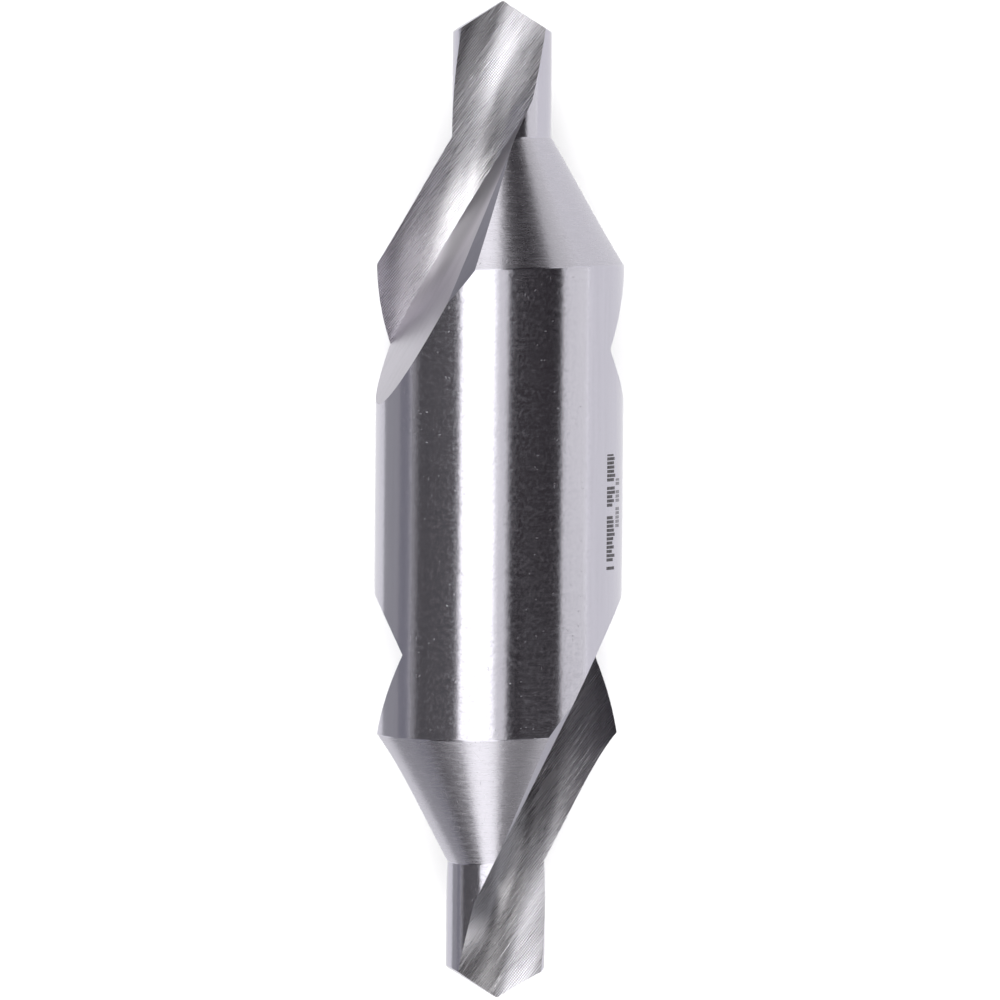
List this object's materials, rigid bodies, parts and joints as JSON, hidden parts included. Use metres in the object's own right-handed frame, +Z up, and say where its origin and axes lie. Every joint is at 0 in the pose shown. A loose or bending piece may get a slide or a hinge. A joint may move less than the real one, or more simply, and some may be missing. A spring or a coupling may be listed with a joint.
{
  "type": "centre drill",
  "caption": "Double-ended centre drill: a round body whose ends each carry a short pilot drill and a 60 degree countersink, with right-hand helical flutes ground through them.",
  "frame": {"origin": "under the middle of the body, on the surface it lies on", "axes": "+Y along the drill's axis, towards the end at the top of the picture; +Z up from the surface"},
  "size_m": [0.02, 0.0808, 0.02],
  "materials": {
    "ground_steel": "bright ground"
  },
  "bodies": {
    "root": {"centre_drill": "ground_steel"}
  },
  "joints": []
}
